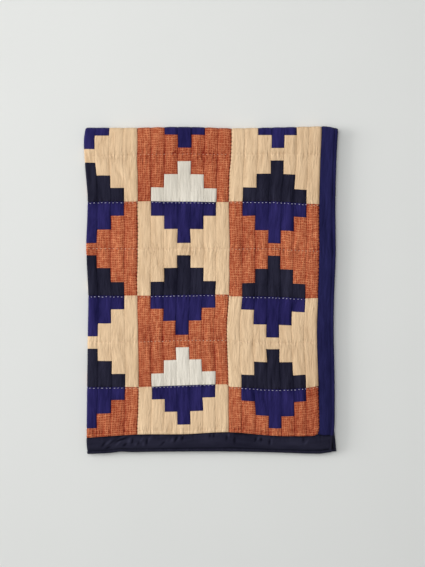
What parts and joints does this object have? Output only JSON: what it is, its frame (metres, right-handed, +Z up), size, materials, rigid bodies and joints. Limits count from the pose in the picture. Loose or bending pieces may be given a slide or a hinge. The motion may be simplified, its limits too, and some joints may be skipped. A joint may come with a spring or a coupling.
{
  "type": "patchwork quilt",
  "caption": "Hand-quilted patchwork quilt folded up and laid flat, pieced from stepped log blocks, with plain cotton borders and bound edges.",
  "frame": {"origin": "middle of the folded stack's underside, on the surface that it rests on", "axes": "+Z up through the four layers, +Y towards the second fold, along the quilt, and -X towards the first fold"},
  "size_m": [0.7694, 0.996, 0.0273],
  "materials": {
    "patchwork": "washed plain-weave cottons in sand, rust check, indigo, navy and off-white, hand quilted",
    "side_cotton": "washed indigo plain-weave cotton",
    "end_cotton": "washed near-black navy plain-weave cotton",
    "quilting_thread": "undyed cotton quilting thread"
  },
  "bodies": {
    "root": {"quilted_patchwork": "patchwork", "side_border_outer": "side_cotton", "side_border_inner": "side_cotton", "foot_border": "end_cotton", "head_border": "end_cotton", "side_binding_outer": "side_cotton", "side_binding_inner": "side_cotton", "foot_binding": "end_cotton", "head_binding": "end_cotton"}
  },
  "joints": []
}
